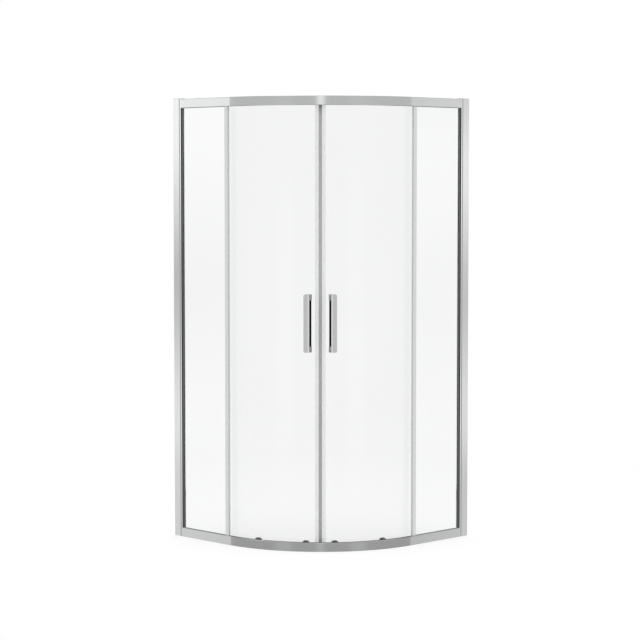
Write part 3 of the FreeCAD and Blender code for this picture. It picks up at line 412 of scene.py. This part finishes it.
# Sizes in metres of the small pieces made here: profile edges, knob plates, bolt caps and leaf springs.
# Plates and caps sink into their seats by SINK. KNOB_SETBACK is from a top wheel's joint in to its knob's
# face, and BOLT_FACE is from the curve's centre out to the bolts' faces.
CURVE_CENTRE = Vector((-0.09, 0.09, 0))
SINK = 0.0001
LIP_REACH = 0.0085
LIP_BEVEL = 0.0004
LIP_GAP = 0.0001
# The grey strip along the lip's free edge is painted shade for the shadow gap between the leg and the
# jamb
SHADOW_LINE_REACH = 0.0004
SHADOW_LINE_BEVEL = 0.0001
KNOB_SETBACK = 0.0316
PLATE_RADIUS = 0.0096
PLATE_HEIGHT = 0.0009
PLATE_BEVEL = 0.0003
PLATE_RINGS = [(0, -SINK), (0, PLATE_HEIGHT - PLATE_BEVEL), (PLATE_BEVEL, PLATE_HEIGHT)]
PLATE_STEPS = 24
SLOT_HALF = 0.0012
BOLT_FACE = 0.4949
BOLT_HEAD_RADIUS = 0.0055
CAP_RADIUS = 0.0050
CAP_DOME = (0.0046, 0.0038)
CAP_HEIGHTS = (0.0006, 0.0010)
SOCKET_HALF = 0.0020
SOCKET_SIDES = 6
CAP_STEPS = 36
SPRING_HALF = 0.0084
SPRING_WIDTH = 0.005
SPRING_GAUGE = 0.0005
SPRING_STEPS = 24


# Faces between rings of equally many points, capped at both ends or joined end to end
def stack(rings, closed=False):
    count = len(rings[0])
    points = [point for ring in rings for point in ring]
    faces = []
    for level in range(len(rings) if closed else len(rings) - 1):
        low = level * count
        high = (level + 1) % len(rings) * count
        for spot in range(count):
            after = (spot + 1) % count
            faces.append((low + spot, low + after, high + after, high + spot))
    if not closed:
        faces.append(tuple(range(count)))
        faces.append(tuple(range(len(points) - count, len(points))))
    return points, faces


# A new piece from points and faces, which rides on a body
def add_piece(name, points, faces, material, body, slot):
    shape = bmesh.new()
    corners = [shape.verts.new(point) for point in points]
    for face in faces:
        shape.faces.new([corners[index] for index in face])
    bmesh.ops.recalc_face_normals(shape, faces=shape.faces)
    mesh = bpy.data.meshes.new(name)
    shape.to_mesh(mesh)
    shape.free()
    mesh.materials.append(material)
    piece = bpy.data.objects.new(name, mesh)
    bpy.context.scene.collection.objects.link(piece)
    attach(piece, body)
    return piece


# A point of a round face that looks inward along the radius of the doors
def on_face(centre, outward, across, up, raised):
    side = outward.cross(Vector(UP))
    return centre + side * across + Vector(UP) * up - outward * raised


def outward_from_curve(point):
    outward = point - CURVE_CENTRE
    outward.z = 0
    return outward.normalized()


# Outline of a strip on the left pane's line, with a bevel at its far outer corner
def bevelled(near, far, outer, inner, bevel):
    return [(near, outer), (far - bevel, outer), (far, outer + bevel), (far, inner), (near, inner)]


# The same strip on both sides, where the right one is mirrored in the corner's diagonal
def add_edge_strips(name, outline, levels, material, slot):
    for side in SIDES:
        corners = outline if side == "left" else [(-y, -x) for x, y in outline]
        rings = [[(x, y, level) for x, y in corners] for level in levels]
        add_piece("%s_%s" % (name, side), *stack(rings), material, "frame", slot)


# Longer outer leg of each wall profile, over the jamb, and a thin grey rubber strip along its free edge,
# which is painted shade: it stands for the shadow gap between the leg and the jamb
def add_profile_edges(metal, rubber):
    low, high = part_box("wall_profile_left")
    levels = (low[2], high[2])
    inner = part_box("jamb_left")[0][1] - LIP_GAP
    edge = high[0] + LIP_REACH
    lip = bevelled(high[0], edge, low[1], inner, LIP_BEVEL)
    shadow_line = bevelled(edge, edge + SHADOW_LINE_REACH, low[1] + LIP_BEVEL, inner, SHADOW_LINE_BEVEL)
    add_edge_strips("profile_lip", lip, levels, metal, "frame_metal")
    add_edge_strips("profile_shadow_line", shadow_line, levels, rubber, "gasket_rubber")


# Half of a round plate on a roller knob, beside the adjusting slot that two of them leave
def half_plate(half, inset):
    radius = PLATE_RADIUS - inset
    edge = SLOT_HALF + inset
    start = math.asin(edge / radius)
    turns = [start + (math.pi - 2 * start) * step / PLATE_STEPS for step in range(PLATE_STEPS + 1)]
    return [(half * radius * math.cos(turn), half * radius * math.sin(turn)) for turn in turns]


def add_knob_plates(steel):
    for side in SIDES:
        for spot in SPOTS:
            joint = JOINTS["%s_top_wheel_%s_spin" % (side, spot)]
            outward = Vector(joint["axis"])
            centre = Vector(joint["pos_m"]) - outward * KNOB_SETBACK
            for half, part in ((1, "upper"), (-1, "lower")):
                rings = []
                for inset, raised in PLATE_RINGS:
                    outline = half_plate(half, inset)
                    rings.append([on_face(centre, outward, *point, raised) for point in outline])
                name = "knob_plate_%s_%s_%s" % (side, spot, part)
                add_piece(name, *stack(rings), steel, side + "_door", "fastener_steel")


# Domed cap with a six-sided socket on each handle bolt
def add_bolt_caps(steel):
    turns = [math.tau * step / CAP_STEPS for step in range(CAP_STEPS)]
    sector = math.tau / SOCKET_SIDES
    socket = [SOCKET_HALF / math.cos(turn % sector - sector / 2) for turn in turns]
    steps = [([CAP_RADIUS] * CAP_STEPS, -SINK), ([CAP_DOME[0]] * CAP_STEPS, CAP_HEIGHTS[0]),
             ([CAP_DOME[1]] * CAP_STEPS, CAP_HEIGHTS[1]), (socket, CAP_HEIGHTS[1]), (socket, -SINK)]
    for side in SIDES:
        low, high = (Vector(corner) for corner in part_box("handle_back_bar_" + side))
        outward = outward_from_curve((low + high) / 2)
        bolts_low, bolts_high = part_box("handle_bolts_" + side)
        levels = {"lower": bolts_low[2] + BOLT_HEAD_RADIUS, "upper": bolts_high[2] - BOLT_HEAD_RADIUS}
        for place, level in levels.items():
            centre = CURVE_CENTRE + outward * BOLT_FACE + Vector(UP) * level
            rings = []
            for radii, raised in steps:
                spots = [(radius * math.cos(turn), radius * math.sin(turn))
                         for radius, turn in zip(radii, turns)]
                rings.append([on_face(centre, outward, *spot, raised) for spot in spots])
            name = "bolt_cap_%s_%s" % (side, place)
            add_piece(name, *stack(rings, closed=True), steel, side + "_door", "fastener_steel")


# Bowed leaf spring under each release slider; the real one flattens as the slider is pressed, but this
# one keeps its bowed shape
def add_leaf_springs(steel):
    for side in SIDES:
        for spot in SPOTS:
            node = "release_spring_%s_%s" % (side, spot)
            low, high = (Vector(corner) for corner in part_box(node))
            foot = (low + high) / 2
            foot.z = low.z
            outward = outward_from_curve(foot)
            free = high.z - low.z
            edge = SPRING_WIDTH / 2
            rings = []
            for step in range(SPRING_STEPS + 1):
                share = 2 * step / SPRING_STEPS - 1
                bow = (free - SPRING_GAUGE) * math.cos(share * math.pi / 2) ** 2
                top = bow + SPRING_GAUGE
                section = [(bow, -edge), (bow, edge), (top, edge), (top, -edge)]
                rings.append([on_face(foot, outward, share * SPRING_HALF, *point) for point in section])
            name = "leaf_spring_%s_%s" % (side, spot)
            piece = add_piece(name, *stack(rings), steel, side + "_door", "spring_steel")
            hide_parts(node)
            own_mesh(piece)


# Studio: a white room for the camera, and soft panels that the bright metal mirrors.
# Heights are the upward part of a mirrored ray's direction, shares run over STUDIO_HEIGHTS.
STUDIO_HEIGHTS = (-0.20, 0.06)
LEFT_PANELS = [(0.10, 0.74), (0.23, 0.76), (0.30, 0.91), (0.38, 0.88), (0.53, 0.61), (0.60, 0.57),
               (0.75, 0.89), (0.83, 1.07), (0.91, 1.07)]
RIGHT_PANELS = [(0.10, 0.68), (0.23, 0.66), (0.30, 0.84), (0.38, 0.84), (0.53, 0.63), (0.60, 0.66),
                (0.75, 0.95), (0.82, 0.96), (0.91, 0.75)]
FRONT_PANELS = [(0.10, 0.36), (0.45, 0.61), (0.90, 0.56)]
FRONT_STRIP = [(0.10, 0.47), (0.45, 0.70), (0.90, 1.0)]
BACK_PANELS = [(0.10, 0.26), (0.60, 0.32), (0.90, 0.36)]
SIDE_LIGHTS = [(0.10, 0.40), (0.35, 0.78), (0.65, 0.78), (0.90, 0.56)]
STRIP_EDGES = (0.03, 0.08)
STRIP_FACING = (0, 0.2)
LIGHT_START = (0.42, 0.48)
LIGHT_END = (0.64, 0.70)
SIDE_EDGES = (-0.034, -0.018)
BACK_EDGES = (-0.30, -0.12)
MIDDLE_EDGES = (-0.1, 0.1)


# What a mirrored ray sees: panels at the sides, in front and behind, two lights and a bright strip
def studio_colour(tree, direction):
    aside = along(tree, direction, ASIDE)
    ahead = along(tree, direction, AHEAD)
    height = map_range(tree, along(tree, direction, UP), STUDIO_HEIGHTS, (0, 1))
    side_mask = map_range(tree, ahead, SIDE_EDGES, (1, 0))
    back_mask = map_range(tree, ahead, BACK_EDGES, (1, 0))
    off_centre = math_node(tree, "ABSOLUTE", aside)
    strip_mask = map_range(tree, off_centre, STRIP_EDGES, (1, 0))
    light_start = map_range(tree, off_centre, LIGHT_START, (0, 1))
    light_mask = math_node(tree, "MULTIPLY", light_start, map_range(tree, off_centre, LIGHT_END, (1, 0)))
    facing = map_range(tree, ahead, STRIP_FACING, (0, 1))
    strip_mask = math_node(tree, "MULTIPLY", strip_mask, facing)
    colour = tones(tree, height, FRONT_PANELS)
    colour = mix_colour(tree, light_mask, colour, tones(tree, height, SIDE_LIGHTS))
    right_mask = map_range(tree, aside, MIDDLE_EDGES, (0, 1))
    left = tones(tree, height, LEFT_PANELS)
    sides = mix_colour(tree, right_mask, left, tones(tree, height, RIGHT_PANELS))
    colour = mix_colour(tree, side_mask, colour, sides)
    colour = mix_colour(tree, back_mask, colour, tones(tree, height, BACK_PANELS))
    return mix_colour(tree, strip_mask, colour, tones(tree, height, FRONT_STRIP))


def add_world():
    world = bpy.data.worlds.new("studio")
    bpy.context.scene.world = world
    world.use_nodes = True
    tree = world.node_tree
    tree.nodes.clear()
    output = add_node(tree, "ShaderNodeOutputWorld")
    white = add_node(tree, "ShaderNodeBackground")
    set_inputs(white, Color=grey(1), Strength=1.0)
    studio = add_node(tree, "ShaderNodeBackground")
    coords = add_node(tree, "ShaderNodeTexCoord")
    tree.links.new(studio_colour(tree, coords.outputs["Generated"]), studio.inputs["Color"])
    path = add_node(tree, "ShaderNodeLightPath")
    mirrored = math_node(tree, "SUBTRACT", path.outputs["Glossy Depth"], path.outputs["Is Diffuse Ray"])
    blend = add_node(tree, "ShaderNodeMixShader")
    tree.links.new(mirrored, blend.inputs["Fac"])
    tree.links.new(white.outputs["Background"], blend.inputs[1])
    tree.links.new(studio.outputs["Background"], blend.inputs[2])
    tree.links.new(blend.outputs["Shader"], output.inputs["Surface"])


# Pale floor: a glow near the object makes up for its shade, and the rim fades out, distances in metres
FLOOR_RADIUS = 7.0
FLOOR_SIDES = 96
FLOOR_TINT = 0.35
FLOOR_ROUGHNESS = 0.9
FLOOR_POOL = (0.6, 2.6)
FLOOR_GLOW = (0.705, 0.65)
FLOOR_FADE = (3.0, 7.0)


def add_floor():
    mesh = bpy.data.meshes.new("floor")
    angles = [math.tau * side / FLOOR_SIDES for side in range(FLOOR_SIDES)]
    rim = [(FLOOR_RADIUS * math.cos(angle), FLOOR_RADIUS * math.sin(angle), 0) for angle in angles]
    mesh.from_pydata(rim, [], [tuple(range(FLOOR_SIDES))])
    floor = bpy.data.objects.new("floor", mesh)
    bpy.context.scene.collection.objects.link(floor)
    material, tree, shader = new_material("pale_floor")
    set_inputs(shader, Base_Color=grey(FLOOR_TINT), Roughness=FLOOR_ROUGHNESS, Specular_IOR_Level=0.0,
               Emission_Color=grey(1))
    coords = add_node(tree, "ShaderNodeTexCoord")
    distance = add_node(tree, "ShaderNodeVectorMath", operation="LENGTH")
    tree.links.new(coords.outputs["Object"], distance.inputs[0])
    glow = map_range(tree, distance.outputs["Value"], FLOOR_POOL, FLOOR_GLOW)
    tree.links.new(glow, shader.inputs["Emission Strength"])
    cover = map_range(tree, distance.outputs["Value"], FLOOR_FADE, (1, 0))
    tree.links.new(cover, shader.inputs["Alpha"])
    mesh.materials.append(material)
    floor.visible_glossy = False


bpy.context.scene.view_settings.view_transform = "Standard"
add_camera()
add_world()
add_floor()
materials = build_materials()
dress_nodes(materials)
add_profile_edges(materials["upright"], materials["grey rubber"])
add_knob_plates(materials["steel"])
add_bolt_caps(materials["steel"])
add_leaf_springs(materials["steel"])
